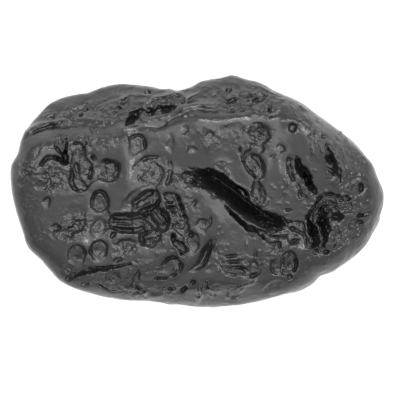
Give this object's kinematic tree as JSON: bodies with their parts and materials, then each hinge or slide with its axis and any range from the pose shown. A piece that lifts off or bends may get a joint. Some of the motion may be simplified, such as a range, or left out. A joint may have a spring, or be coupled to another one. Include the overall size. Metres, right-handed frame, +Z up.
{
  "type": "tumbled tektite",
  "caption": "Oblong tumbled tektite, a natural black glass stone: rounded, flattened and pitted, with a deep slanting trench and a flat to rest on.",
  "frame": {"origin": "on the surface the stone rests on, under the middle of its outline", "axes": "+X along the stone's longest way, towards its blunter pointed end; +Y across it; +Z up out of its pitted face, through its thinnest way"},
  "size_m": [0.0382, 0.0236, 0.0154],
  "materials": {
    "tektite_glass": "opaque black natural glass, worn to a soft satin sheen, duller in the pits"
  },
  "bodies": {
    "root": {"tektite": "tektite_glass"}
  },
  "joints": []
}
